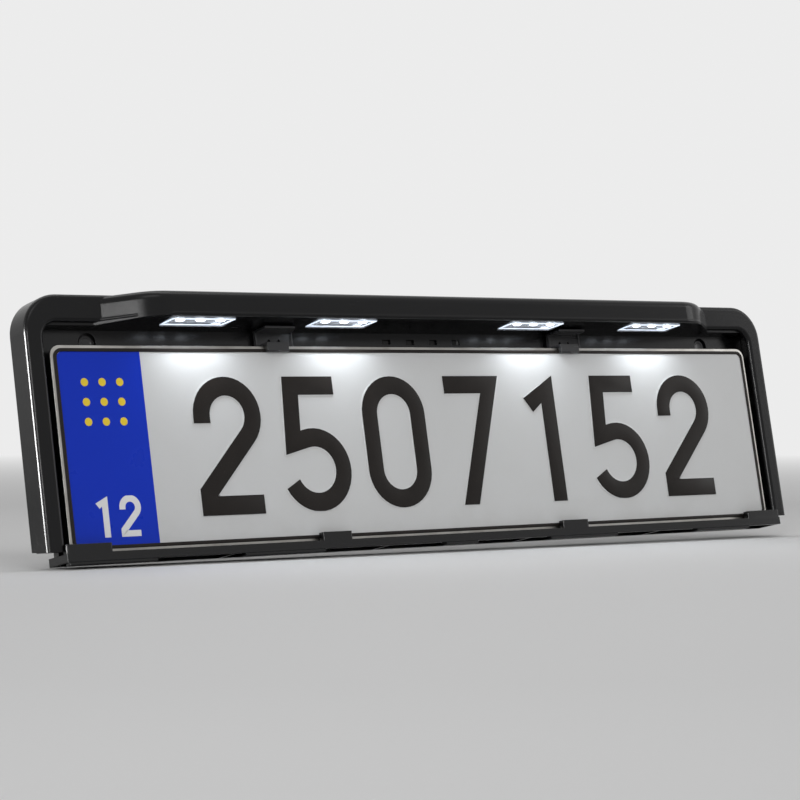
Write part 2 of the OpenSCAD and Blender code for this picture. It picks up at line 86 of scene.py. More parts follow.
class Shader:
    """A material's node tree with short calls for the nodes that the finishes share."""

    def __init__(self, name: str) -> None:
        """Start a material with one Principled shader.

        Args:
            name: Name of the material.
        """
        self.material = bpy.data.materials.new(name)
        self.material.use_nodes = True
        self.nodes = self.material.node_tree.nodes
        self.links = self.material.node_tree.links
        self.surface = self.nodes["Principled BSDF"]
        self.output = self.nodes["Material Output"]
        coordinates = self.nodes.new("ShaderNodeTexCoord")
        self.place = coordinates.outputs["Object"]
        self.normal = coordinates.outputs["Normal"]

    def add(self, kind: str, **inputs: object) -> bpy.types.Node:
        """Add a node and fill its sockets.

        Args:
            kind: Node type without the ShaderNode prefix.
            **inputs: Socket names, with underscores for spaces, and a value or a socket each.

        Returns:
            The new node.
        """
        node = self.nodes.new("ShaderNode" + kind)
        for name, value in inputs.items():
            self.feed(node.inputs[name.replace("_", " ")], value)
        return node

    def feed(self, socket: bpy.types.NodeSocket, value: object) -> None:
        """Link a socket into another, or set its value.

        Args:
            socket: Input socket to fill.
            value: An output socket, a number or a colour.
        """
        if isinstance(value, bpy.types.NodeSocket):
            self.links.new(value, socket)
        else:
            socket.default_value = value

    def set(self, **inputs: object) -> None:
        """Fill sockets of the Principled shader.

        Args:
            **inputs: Socket names, with underscores for spaces, and a value or a socket each.
        """
        for name, value in inputs.items():
            self.feed(self.surface.inputs[name.replace("_", " ")], value)

    def noise(self, size: float, detail: float = 3.0,
              stretch: Sequence[float] = (1, 1, 1)) -> bpy.types.NodeSocket:
        """Give a noise pattern in the object's own frame.

        Args:
            size: Size of its grains in metres.
            detail: Number of finer layers.
            stretch: How many times longer the grains are along X, Y and Z.

        Returns:
            The pattern's socket, from 0 to 1.
        """
        scale = [1.0 / (size * s) for s in stretch]
        mapping = self.add("Mapping", Vector=self.place, Scale=scale)
        node = self.add("TexNoise", Vector=mapping.outputs["Vector"], Scale=1.0, Detail=detail)
        return node.outputs["Fac"]

    def span(self, value: bpy.types.NodeSocket, low: float, high: float,
             start: float = 0.0, end: float = 1.0) -> bpy.types.NodeSocket:
        """Stretch a value from start..end to low..high.

        Args:
            value: Socket to read.
            low: Result at start.
            high: Result at end.
            start: Value that gives low.
            end: Value that gives high.

        Returns:
            The result's socket.
        """
        node = self.add("MapRange", Value=value, From_Min=start, From_Max=end, To_Min=low, To_Max=high)
        return node.outputs["Result"]

    def mix(self, share: object, first: Colour, second: Colour) -> bpy.types.NodeSocket:
        """Mix two colours.

        Args:
            share: Socket that gives the share of the second.
            first: Colour at share 0, or a colour socket.
            second: Colour at share 1, or a colour socket.

        Returns:
            The mixed colour's socket.
        """
        node = self.nodes.new("ShaderNodeMix")
        node.data_type = "RGBA"
        self.feed(node.inputs["Factor"], share)
        for index, colour in ((6, first), (7, second)):
            self.feed(node.inputs[index], (*colour, 1.0) if isinstance(colour, tuple) else colour)
        return node.outputs[2]

    def math(self, operation: str, first: object, second: object = 0.0) -> bpy.types.NodeSocket:
        """Combine two values.

        Args:
            operation: Name of Blender's math operation.
            first: Value or socket.
            second: Value or socket.

        Returns:
            The result's socket.
        """
        node = self.nodes.new("ShaderNodeMath")
        node.operation = operation
        self.feed(node.inputs[0], first)
        self.feed(node.inputs[1], second)
        return node.outputs[0]

    def bump(self, *layers: tuple[bpy.types.NodeSocket, float], edge: float = 0.0) -> None:
        """Raise the surface by patterns.

        Args:
            *layers: Pairs of a pattern and its height in metres.
            edge: Radius that softens sharp edges, in metres.
        """
        normal: bpy.types.NodeSocket | None = None
        if edge:
            bevel = self.nodes.new("ShaderNodeBevel")
            bevel.samples = 6
            bevel.inputs["Radius"].default_value = edge
            normal = bevel.outputs["Normal"]
        for pattern, height in layers:
            node = self.add("Bump", Height=pattern, Strength=1.0, Distance=height)
            if normal is not None:
                self.links.new(normal, node.inputs["Normal"])
            normal = node.outputs["Normal"]
        if normal is not None:
            self.links.new(normal, self.surface.inputs["Normal"])


@dataclass(frozen=True)
class MouldedPlastic:
    """Black moulded plastic with an eroded grain, soft flow marks and a little dust on top."""

    name: str
    colour: Colour = (0.0035, 0.0035, 0.0038)
    gloss: float = 0.19
    roughness: float = 0.22
    grain: float = 0.000016
    grain_size: float = 0.00045
    dust: float = 0.03
    edge: float = 0.0004

    def material(self) -> bpy.types.Material:
        """Build it.

        Returns:
            The material.
        """
        sh = Shader(self.name)
        grain = sh.noise(self.grain_size, 2.0)
        flow = sh.noise(0.045, 3.0, (3.0, 1.0, 1.0))
        specks = sh.noise(0.006, 5.0)
        scuffs = sh.noise(0.004, 5.0, (9.0, 1.0, 1.0))
        up = sh.add("SeparateXYZ", Vector=sh.normal).outputs["Z"]
        on_top = sh.span(up, 0.0, 1.0, 0.35, 1.0)
        patches = sh.span(specks, 0.0, 1.0, 0.42, 0.72)
        dusty = sh.math("MULTIPLY", sh.math("MULTIPLY", on_top, patches), self.dust)
        tone = sh.mix(flow, self.colour, tuple(c * 1.7 for c in self.colour))
        rough = sh.span(flow, self.roughness * 0.86, self.roughness * 1.12, 0.3, 0.7)
        worn = sh.math("MULTIPLY", sh.span(scuffs, 0.0, 1.0, 0.58, 0.7), 0.05)
        sh.set(
            Base_Color=sh.mix(dusty, tone, (0.30, 0.29, 0.27)),
            Roughness=sh.math("ADD", sh.math("ADD", rough, worn), sh.math("MULTIPLY", dusty, 0.5)),
            IOR=1.5,
            Specular_IOR_Level=self.gloss,
        )
        sh.bump((flow, 0.00006), (grain, self.grain), edge=self.edge)
        return sh.material


@dataclass(frozen=True)
class RolledAluminium:
    """Bare aluminium sheet with fine rolling lines and a dull edge."""

    name: str = "rolled_aluminium"
    colour: Colour = (0.40, 0.39, 0.37)

    def material(self) -> bpy.types.Material:
        """Build it.

        Returns:
            The material.
        """
        sh = Shader(self.name)
        lines = sh.noise(0.0004, 3.0, (60.0, 1.0, 1.0))
        clouds = sh.noise(0.012, 4.0)
        sh.set(
            Base_Color=sh.mix(sh.span(clouds, 0.0, 0.5, 0.4, 0.75), self.colour, (0.16, 0.145, 0.125)),
            Metallic=1.0,
            Roughness=sh.span(lines, 0.26, 0.46),
        )
        sh.bump((lines, 0.00002))
        return sh.material


@dataclass(frozen=True)
class ReflectiveSheeting:
    """Coloured reflective film on the plate: a fine bead grain, faint waves and a clear top layer."""

    name: str
    colour: Colour
    soil: Colour
    roughness: float = 0.34
    gloss: float = 0.4

    def material(self) -> bpy.types.Material:
        """Build it.

        Returns:
            The material.
        """
        sh = Shader(self.name)
        beads = sh.noise(0.00035, 1.5)
        waves = sh.noise(0.05, 2.0, (1.6, 1.0, 1.0))
        clouds = sh.noise(0.022, 5.0)
        height = sh.add("SeparateXYZ", Vector=sh.place).outputs["Z"]
        low = sh.span(height, 1.0, 0.0, -0.057, -0.036)
        reach = sh.math("ADD", sh.math("MULTIPLY", low, 0.30), 0.05)
        soiled = sh.math("MULTIPLY", sh.span(clouds, 0.0, 1.0, 0.4, 0.75), reach)
        shaded = tuple(c * 0.72 for c in self.colour)
        tone = sh.mix(sh.span(beads, 0.0, 0.10, 0.35, 0.75), self.colour, shaded)
        sh.set(
            Base_Color=sh.mix(soiled, tone, self.soil),
            Roughness=sh.span(clouds, self.roughness * 0.85, self.roughness * 1.2, 0.3, 0.7),
            Specular_IOR_Level=self.gloss,
            Coat_Weight=0.12,
            Coat_Roughness=0.12,
        )
        sh.bump((waves, 0.00035), (beads, 0.00001))
        return sh.material


@dataclass(frozen=True)
class FoilInk:
    """Hot foil on the raised characters and bead, with tiny pinholes and a faint orange peel."""

    name: str = "black_foil"
    colour: Colour = (0.011, 0.009, 0.008)

    def material(self) -> bpy.types.Material:
        """Build it.

        Returns:
            The material.
        """
        sh = Shader(self.name)
        peel = sh.noise(0.0022, 3.0)
        pinholes = sh.noise(0.0005, 2.0)
        patches = sh.noise(0.011, 4.0)
        tone = sh.mix(patches, self.colour, tuple(c * 1.6 for c in self.colour))
        sh.set(
            Base_Color=sh.mix(sh.span(pinholes, 0.0, 0.5, 0.70, 0.78), tone, (0.10, 0.095, 0.09)),
            Roughness=sh.span(patches, 0.30, 0.46, 0.3, 0.7),
            Specular_IOR_Level=0.15,
        )
        sh.bump((peel, 0.00004), (pinholes, 0.000006))
        return sh.material


@dataclass(frozen=True)
class ClearLens:
    """Clear polycarbonate pane with a faint haze."""

    name: str = "clear_lens"

    def material(self) -> bpy.types.Material:
        """Build it.

        Returns:
            The material.
        """
        sh = Shader(self.name)
        haze = sh.noise(0.004, 3.0)
        sh.set(
            Base_Color=(0.92, 0.95, 1.0, 1.0),
            Roughness=sh.span(haze, 0.05, 0.12, 0.3, 0.7),
            IOR=1.58,
            Alpha=0.16,
        )
        sh.set(Emission_Color=(0.86, 0.92, 1.0, 1.0), Emission_Strength=0.25)
        sh.bump((haze, 0.00002))
        return sh.material


@dataclass(frozen=True)
class Glow:
    """A surface that shines by itself, its strength varying by a soft pattern."""

    name: str
    colour: Colour
    strength: float

    def material(self) -> bpy.types.Material:
        """Build it.

        Returns:
            The material.
        """
        sh = Shader(self.name)
        mottle = sh.noise(0.003, 2.0)
        sh.set(
            Base_Color=(0.9, 0.92, 0.95, 1.0),
            Roughness=0.3,
            Emission_Color=(*self.colour, 1.0),
            Emission_Strength=sh.span(mottle, self.strength * 0.8, self.strength * 1.15, 0.3, 0.7),
        )
        return sh.material


@dataclass(frozen=True)
class WhiteReflector:
    """Matt white moulding round the chips, a little darker and cooler in soft clouds."""

    name: str = "white_reflector"
    colour: Colour = (0.80, 0.82, 0.84)

    def material(self) -> bpy.types.Material:
        """Build it.

        Returns:
            The material.
        """
        sh = Shader(self.name)
        clouds = sh.noise(0.006, 3.0)
        sh.set(
            Base_Color=sh.mix(clouds, self.colour, (0.66, 0.68, 0.72)),
            Roughness=0.45,
        )
        sh.bump((sh.noise(0.0006, 2.0), 0.00001))
        return sh.material


@dataclass(frozen=True)
class ZincSteel:
    """Bright zinc on steel screws."""

    name: str = "zinc_steel"

    def material(self) -> bpy.types.Material:
        """Build it.

        Returns:
            The material.
        """
        sh = Shader(self.name)
        grain = sh.noise(0.0007, 4.0)
        sh.set(
            Base_Color=sh.mix(grain, (0.62, 0.62, 0.60), (0.42, 0.43, 0.45)),
            Metallic=1.0,
            Roughness=sh.span(grain, 0.22, 0.42, 0.3, 0.7),
        )
        sh.bump((grain, 0.00002), edge=0.0002)
        return sh.material


@dataclass(frozen=True)
class SoftRubber:
    """Matt rubber of the cable grommet."""

    name: str = "soft_rubber"

    def material(self) -> bpy.types.Material:
        """Build it.

        Returns:
            The material.
        """
        sh = Shader(self.name)
        bloom = sh.noise(0.003, 4.0)
        sh.set(Base_Color=sh.mix(bloom, (0.015, 0.015, 0.015), (0.045, 0.044, 0.042)), Roughness=0.72)
        sh.bump((bloom, 0.00003), edge=0.0002)
        return sh.material


# --- Modelling ---


class Side(Enum):
    """Left and right end of the holder, seen from the front."""

    LEFT = -1
    RIGHT = 1


class Workpiece:
    """One mesh object that is modelled with Blender's edit tools."""

    def __init__(self, name: str) -> None:
        """Take the object that was just added.

        Args:
            name: Its name.
        """
        self.obj: bpy.types.Object = bpy.context.active_object
        self.obj.name = name
        self.obj.data.name = name

    def activate(self) -> None:
        """Make this the only selected object and the active one."""
        for obj in bpy.context.view_layer.objects:
            obj.select_set(obj == self.obj)
        bpy.context.view_layer.objects.active = self.obj

    @classmethod
    def box(cls, name: str, low: Sequence[float], high: Sequence[float]) -> "Workpiece":
        """Add a cube between two corners.

        Args:
            name: Its name.
            low: Lowest corner.
            high: Highest corner.

        Returns:
            The new piece.
        """
        middle = [(a + b) / 2 for a, b in zip(low, high)]
        bpy.ops.mesh.primitive_cube_add(size=1.0, location=middle)
        piece = cls(name)
        piece.obj.scale = [b - a for a, b in zip(low, high)]
        piece.settle()
        return piece

    @classmethod
    def upright_plane(cls, name: str, width: float, height: float, middle: Sequence[float]) -> "Workpiece":
        """Add a plane that faces the front.

        Args:
            name: Its name.
            width: Size along X.
            height: Size along Z.
            middle: Its middle point.

        Returns:
            The new piece.
        """
        bpy.ops.mesh.primitive_plane_add(size=1.0, location=middle, rotation=(math.pi / 2, 0, 0))
        piece = cls(name)
        piece.obj.scale = (width, height, 1.0)
        piece.settle()
        return piece

    @classmethod
    def disc(cls, name: str, radius: float, depth: float, middle: Sequence[float],
             sides: int = 24) -> "Workpiece":
        """Add a round slug whose axis runs front to back.

        Args:
            name: Its name.
            radius: Its radius.
            depth: Its length along Y.
            middle: Its middle point.
            sides: Number of sides.

        Returns:
            The new piece.
        """
        bpy.ops.mesh.primitive_cylinder_add(
            vertices=sides, radius=radius, depth=depth, location=middle, rotation=(math.pi / 2, 0, 0)
        )
        piece = cls(name)
        piece.settle()
        return piece

    def settle(self) -> None:
        """Put the object's place into its mesh, so that the object sits at the origin."""
        self.activate()
        bpy.ops.object.transform_apply(location=True, rotation=True, scale=True)

    @contextmanager
    def edit(self, mode: str = "VERT") -> Iterator[None]:
        """Work in edit mode with nothing selected.

        Args:
            mode: VERT, EDGE or FACE.

        Yields:
            Nothing, with the mesh in edit mode.
        """
        self.activate()
        bpy.ops.object.mode_set(mode="EDIT")
        bpy.ops.mesh.select_mode(type=mode)
        bpy.ops.mesh.select_all(action="DESELECT")
        yield
        bpy.ops.object.mode_set(mode="OBJECT")

    def select(self, kind: str, test: Callable[[object], bool]) -> None:
        """Select parts of the mesh by a test.

        Args:
            kind: verts, edges or faces.
            test: Says of a BMesh element whether it is wanted.
        """
        bm = bmesh.from_edit_mesh(self.obj.data)
        for part in (*bm.verts, *bm.edges, *bm.faces):
            part.select = False
        for part in [part for part in getattr(bm, kind) if test(part)]:
            part.select_set(True)
        bmesh.update_edit_mesh(self.obj.data)

    @staticmethod
    def face_outwards() -> None:
        """Select the whole mesh in edit mode and turn its faces outwards."""
        bpy.ops.mesh.select_all(action="SELECT")
        bpy.ops.mesh.normals_make_consistent(inside=False)

    def hollow(self, axis: int, levels: Sequence[float], width: float) -> None:
        """Leave only a frame of a slab.

        Args:
            axis: Index of the axis that runs through the slab.
            levels: Places of its two faces on that axis.
            width: Width of the frame.
        """
        for level in levels:
            with self.edit("FACE"):
                self.select("faces", lambda f, at=level: all(abs(v.co[axis] - at) < TOUCH for v in f.verts))
                bpy.ops.mesh.inset(thickness=width, depth=0)
                bpy.ops.mesh.delete(type="FACE")
        with self.edit("EDGE"):
            self.select("edges", lambda e: e.is_boundary)
            bpy.ops.mesh.bridge_edge_loops()
            self.face_outwards()

    def round_corners(self, radius: float, segments: int = 8) -> None:
        """Round the corners of a flat piece.

        Args:
            radius: Radius of the corners.
            segments: Number of edges in each corner.
        """
        with self.edit():
            bpy.ops.mesh.select_all(action="SELECT")
            bpy.ops.mesh.bevel(offset=radius, segments=segments, affect="VERTICES", profile=0.5)

    def extrude(self, depth: float) -> None:
        """Give a flat piece its thickness towards the front.

        Args:
            depth: Thickness along -Y.
        """
        with self.edit("FACE"):
            bpy.ops.mesh.select_all(action="SELECT")
            bpy.ops.mesh.extrude_region_move(TRANSFORM_OT_translate={"value": (0, -depth, 0)})
            self.face_outwards()

    def modifier(self, kind: str, **values: object) -> None:
        """Add a modifier and apply it.

        Args:
            kind: Type of the modifier.
            **values: Its settings.
        """
        self.activate()
        made = self.obj.modifiers.new(kind.title(), kind)
        for name, value in values.items():
            setattr(made, name, value)
        bpy.ops.object.modifier_apply(modifier=made.name)

    def repeat(self, count: int, step: Sequence[float]) -> None:
        """Repeat the piece in a row.

        Args:
            count: How many there are then.
            step: Way from one to the next.
        """
        self.modifier("ARRAY", count=count, use_relative_offset=False, use_constant_offset=True,
                      constant_offset_displace=step)

    def bevel(self, width: float, segments: int = 2, angle: float = 30.0) -> None:
        """Round every edge that turns by more than an angle.

        Args:
            width: Width of the rounding.
            segments: Number of faces across it.
            angle: Least turn in degrees.
        """
        self.modifier("BEVEL", width=width, segments=segments, limit_method="ANGLE",
                      angle_limit=math.radians(angle), use_clamp_overlap=True)

    def smooth(self, angle: float = 35.0) -> None:
        """Shade the mesh smooth except over sharp edges.

        Args:
            angle: Turn in degrees from which an edge stays sharp.
        """
        self.activate()
        bpy.ops.object.shade_smooth_by_angle(angle=math.radians(angle))

    def finish(self, material: bpy.types.Material, slot: str) -> bpy.types.Object:
        """Dress the piece and let it ride on the holder.

        Args:
            material: Its finish.
            slot: The record's material slot; not used.

        Returns:
            The finished object.
        """
        self.smooth()
        self.obj.data.materials.clear()
        self.obj.data.materials.append(material)
        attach(self.obj, "root")
        log.info("made %s with %d faces", self.obj.name, len(self.obj.data.polygons))
        return self.obj


def softened(node: str, width: float, material: bpy.types.Material, slot: str) -> None:
    """Let a copy of a CAD solid with rounded edges stand for it.

    Args:
        node: Name of the CAD node.
        width: Width of the rounding.
        material: Finish of the copy.
        slot: The record's material slot.
    """
    copy = bpy.data.objects.new(f"{node}_soft", NODES[node].data.copy())
    bpy.context.scene.collection.objects.link(copy)
    bpy.context.view_layer.objects.active = copy
    piece = Workpiece(f"{node}_soft")
    with piece.edit():
        bpy.ops.mesh.select_all(action="SELECT")
        bpy.ops.mesh.remove_doubles(threshold=TOUCH)
        bpy.ops.mesh.customdata_custom_splitnormals_clear()
        bpy.ops.mesh.dissolve_limited(angle_limit=math.radians(1))
    piece.bevel(width, 2, 35)
    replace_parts(piece.finish(material, slot), node)


def dress(material: bpy.types.Material, *names: str) -> None:
    """Give CAD solids their finish.

    Args:
        material: Finish for all their material slots.
        *names: Names of the CAD nodes.
    """
    for name in names:
        mesh = NODES[name].data
        if not mesh.materials:
            mesh.materials.append(material)
        for index in range(len(mesh.materials)):
            mesh.materials[index] = material
        log.info("dressed %s in %s", name, material.name)


# --- Number plate ---


def in_line(height: float) -> float:
    """Keep a height between the foot and the head of the row of numerals.

    Args:
        height: Height in millimetres.

    Returns:
        The nearest height in the row.
    """
    return max(-HALF_HEIGHT, min(HALF_HEIGHT, height))


class Stroke:
    """Centre line of a pen stroke, made of straight runs and arcs, in millimetres."""

    def __init__(self, start: Point2) -> None:
        """Set the pen down.

        Args:
            start: First point.
        """
        self.points: list[Point2] = [start]
        self.closed = False
        self.level_end = False

    def to(self, x: float, z: float) -> "Stroke":
        """Draw a straight run.

        Args:
            x: End point across.
            z: End point in height.

        Returns:
            This stroke.
        """
        self.points.append((x, z))
        return self

    def arc(self, centre: Point2, radius: float, start: float, end: float) -> "Stroke":
        """Draw an arc, after a straight run to its start if the pen isn't there.

        Args:
            centre: Middle of the arc.
            radius: Its radius.
            start: First angle in degrees.
            end: Last angle in degrees.

        Returns:
            This stroke.
        """
        steps = max(2, round(abs(end - start) / 9))
        for i in range(steps + 1):
            a = math.radians(start + (end - start) * i / steps)
            point = (centre[0] + radius * math.cos(a), centre[1] + radius * math.sin(a))
            if math.dist(point, self.points[-1]) > TOUCH:
                self.points.append(point)
        return self

    def cut_level(self) -> "Stroke":
        """Cut the end off level, at the height of the last point.

        Returns:
            This stroke.
        """
        self.level_end = True
        return self

    def close(self) -> "Stroke":
        """Join the end to the start.

        Returns:
            This stroke.
        """
        if math.dist(self.points[0], self.points[-1]) < TOUCH:
            self.points.pop()
        self.closed = True
        return self

    def sides(self, width: float) -> list[tuple[Point2, Point2]]:
        """Offset the centre line to both sides, with mitred corners.

        Args:
            width: Width of the stroke.

        Returns:
            A pair of points for each point of the line.
        """
        pairs = []
        count = len(self.points)
        for i, (x, z) in enumerate(self.points):
            before = self.points[i - 1] if i or self.closed else None
            after = self.points[(i + 1) % count] if i + 1 < count or self.closed else None
            ways = []
            if before is not None:
                ways.append(Vector((x - before[0], z - before[1])).normalized())
            if after is not None:
                ways.append(Vector((after[0] - x, after[1] - z)).normalized())
            way = sum(ways, Vector((0.0, 0.0))).normalized()
            reach = width / 2 / max(0.3, way.dot(ways[0]))
            across = Vector((-way.y, way.x)) * reach
            if self.level_end and i + 1 == count:
                across = Vector((width / 2 / -way.y, 0.0))
            pairs.append(((x + across.x, in_line(z + across.y)), (x - across.x, in_line(z - across.y))))
        return pairs


# Centre lines of the numerals, in a cell 68 high and 35 wide
NUMERALS: dict[str, Stroke] = {
    "0": Stroke((17.5, 0.0)).arc((0, 16.5), 17.5, 0, 180).arc((0, -16.5), 17.5, 180, 360).close(),
    "1": Stroke((-12.5, 21.0)).to(3.5, 33.0).to(3.5, -HALF_HEIGHT),
    "2": Stroke((-17.0, 13.0)).arc((0, 17.0), 17.0, 180, -43).to(-17.6, -26.5)
    .to(-17.6, -34.0).to(18.5, -34.0),
    "5": Stroke((16.5, 34.0)).to(-13.5, 34.0).to(-15.5, 0.7).arc((-1.5, -15.3), 18.9, 105, -155),
    "7": Stroke((-18.5, 34.0)).to(16.5, 34.0).to(-8.0, -HALF_HEIGHT).cut_level(),
}


@dataclass
class NumberPlate:
    """Pressed aluminium plate: blank, rolled bead, reflective films and raised numerals.

    All sizes are in millimetres.
    """

    width: float = 520.0
    height: float = 114.0
    sheet: float = 1.0
    cut_edge: float = 0.25
    corner: float = 6.0
    sink: float = 0.03
    bead_inset: float = 1.7
    bead_width: float = 2.0
    bead_rise: float = 0.8
    band_end: float = -204.3
    film: float = 0.12
    numerals: str = "2507152"
    pen: float = 10.8
    rise: float = 0.62
    shoulder: float = 0.9
    first_cell: float = -152.0
    pitch: float = 58.3
    level: float = -0.3
    code: str = "12"
    code_middle: Point2 = (-229.0, -37.8)
    code_scale: float = 0.285
    code_pitch: float = 16.5
    code_pen: float = 3.7
    code_rise: float = 0.08
    dots_middle: Point2 = (-229.8, 25.4)
    dot_pitch: float = 11.0
    dot_radius: float = 2.3
    dot_depth: float = 0.12

    @property
    def face(self) -> float:
        """Find the sheet's front face in the frame.

        Returns:
            Its Y.
        """
        low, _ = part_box("number_plate")
        return low.y / MM + self.bead_rise

    def slab(self, name: str, left: float, right: float, half_height: float, corner: float,
             back: float, thickness: float) -> Workpiece:
        """Make an upright slab with round corners.

        Args:
            name: Its name.
            left: Its left end.
            right: Its right end.
            half_height: Half its height.
            corner: Corner radius.
            back: Y of its back face.
            thickness: Its thickness towards the front.

        Returns:
            The new piece.
        """
        piece = Workpiece.upright_plane(
            name, (right - left) * MM, 2 * half_height * MM, ((left + right) / 2 * MM, back * MM, 0)
        )
        piece.round_corners(corner * MM, 10)
        piece.extrude(thickness * MM)
        return piece

    def blank(self, metal: bpy.types.Material) -> None:
        """Make the bare sheet with its rounded cut edge.

        Args:
            metal: Finish of the sheet.
        """
        piece = self.slab("plate_blank", -self.width / 2, self.width / 2, self.height / 2, self.corner,
                          self.face + self.sheet, self.sheet)
        piece.bevel(self.cut_edge * MM, 3, 40)
        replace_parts(piece.finish(metal, "plate_sheet"), "number_plate")

    def bead(self, ink: bpy.types.Material) -> None:
        """Make the raised bead that runs round the plate.

        Args:
            ink: Finish of the bead.
        """
        back = self.face + 0.02
        front = self.face - self.bead_rise
        piece = self.slab("plate_bead", self.bead_inset - self.width / 2, self.width / 2 - self.bead_inset,
                          self.height / 2 - self.bead_inset, self.corner - 1, back, back - front)
        piece.hollow(1, (front * MM, back * MM), self.bead_width * MM)
        piece.bevel(0.55 * MM, 4, 60)
        piece.finish(ink, "plate_sheet")

    def films(self, white: bpy.types.Material, blue: bpy.types.Material) -> None:
        """Make the white field and the blue end band.

        Args:
            white: Finish of the field.
            blue: Finish of the band.
        """
        inside = self.bead_inset + self.bead_width - 0.3
        half_w, half_h = self.width / 2 - inside, self.height / 2 - inside
        for name, left, right, finish, outer in (
            ("plate_field", self.band_end, half_w, white, Side.RIGHT),
            ("plate_band", -half_w, self.band_end, blue, Side.LEFT),
        ):
            middle = (left + right) / 2 * MM
            piece = Workpiece.upright_plane(
                name, (right - left) * MM, 2 * half_h * MM, (middle, (self.face + self.sink) * MM, 0)
            )
            with piece.edit():
                piece.select("verts", lambda v, o=outer, m=middle: (v.co.x - m) * o.value > 0)
                bpy.ops.mesh.bevel(offset=(self.corner - 1.5) * MM, segments=8, affect="VERTICES",
                                   profile=0.5)
            piece.extrude((self.film + self.sink) * MM)
            piece.finish(finish, "plate_sheet")

    def ribbon(self, name: str, stroke: Stroke, middle: Point2, scale: float, pen: float,
               rise: float) -> Workpiece:
        """Press one numeral out of the plate.

        Args:
            name: Its name.
            stroke: Its centre line.
            middle: Its place on the plate.
            scale: Its size against the drawing.
            pen: Width of the pen.
            rise: Height over the film.

        Returns:
            The new piece, without its finish.
        """
        base = self.face - self.film + self.sink
        steps = [
            [Vector(((middle[0] + x * scale) * MM, base * MM, (middle[1] + z * scale) * MM)) for x, z in pair]
            for pair in stroke.sides(pen / scale)
        ]
        if stroke.closed:
            steps.append(steps[0])
        piece = Workpiece.upright_plane(name, MM, MM, (0, base * MM, 0))
        mesh = piece.obj.data
        with piece.edit("EDGE"):
            bm = bmesh.from_edit_mesh(mesh)
            corners = sorted(bm.verts, key=lambda v: (v.co.x, v.co.z))
            for vert, spot in zip(corners, (*steps[0], *steps[1])):
                vert.co = spot
            lead = corners[2:]
            for edge in bm.edges:
                edge.select_set(all(v in lead for v in edge.verts))
            bmesh.update_edit_mesh(mesh)
            for before, after in zip(steps[1:], steps[2:]):
                bpy.ops.mesh.extrude_edges_move(TRANSFORM_OT_translate={"value": (0, 0, 0)})
                bm = bmesh.from_edit_mesh(mesh)
                for vert in (v for v in bm.verts if v.select):
                    first = (vert.co - before[0]).length < (vert.co - before[1]).length
                    vert.co = after[0] if first else after[1]
                bmesh.update_edit_mesh(mesh)
            bpy.ops.mesh.select_all(action="SELECT")
            bpy.ops.mesh.remove_doubles(threshold=TOUCH)
            piece.face_outwards()
        piece.extrude((rise + self.sink) * MM)
        return piece

    def characters(self, ink: bpy.types.Material, white: bpy.types.Material) -> None:
        """Press the row of numerals, each on a soft white shoulder.

        Args:
            ink: Finish of the numerals.
            white: Finish of the shoulders.
        """
        for i, digit in enumerate(self.numerals):
            middle = (self.first_cell + i * self.pitch, self.level)
            shoulder = self.ribbon(f"plate_press_{i + 1}", NUMERALS[digit], middle, 1.0,
                                   self.pen + 2 * self.shoulder, self.rise * 0.55)
            shoulder.bevel(0.3 * MM, 3, 50)
            shoulder.finish(white, "plate_sheet")
            numeral = self.ribbon(f"plate_numeral_{i + 1}", NUMERALS[digit], middle, 1.0, self.pen, self.rise)
            numeral.bevel(0.22 * MM, 3, 50)
            numeral.finish(ink, "plate_sheet")

    def band_print(self, white: bpy.types.Material, yellow: bpy.types.Material) -> None:
        """Print two small numerals and a square of dots on the end band.

        Args:
            white: Finish of the small numerals.
            yellow: Finish of the dots.
        """
        for i, digit in enumerate(self.code):
            across = self.code_middle[0] + (i - 0.5) * self.code_pitch
            piece = self.ribbon(f"band_numeral_{i + 1}", NUMERALS[digit], (across, self.code_middle[1]),
                                self.code_scale, self.code_pen, self.code_rise)
            piece.finish(white, "plate_sheet")
        x, z = (c - self.dot_pitch for c in self.dots_middle)
        y = self.face - self.film - self.sink
        dots = Workpiece.disc("band_dots", self.dot_radius * MM, self.dot_depth * MM,
                              (x * MM, y * MM, z * MM))
        for axis in (0, 2):
            step = [0.0, 0.0, 0.0]
            step[axis] = self.dot_pitch * MM
            dots.repeat(3, step)
        dots.bevel(0.04 * MM, 2, 40)
        dots.finish(yellow, "plate_sheet")


# --- Lamps ---


def area_light(name: str, place: Sequence[float], size: Sequence[float], power: float,
               spread: float) -> bpy.types.Object:
    """Add a rectangular light that shines down.

    Args:
        name: Its name.
        place: Where it is.
        size: Its width and height.
        power: Its power in watts.
        spread: Angle in degrees that its light fills.

    Returns:
        The new light.
    """
    data = bpy.data.lights.new(name, "AREA")
    data.shape = "RECTANGLE"
    data.size, data.size_y = size
    data.energy = power
    data.spread = math.radians(spread)
    light = bpy.data.objects.new(name, data)
    light.location = place
    bpy.context.scene.collection.objects.link(light)
    return light


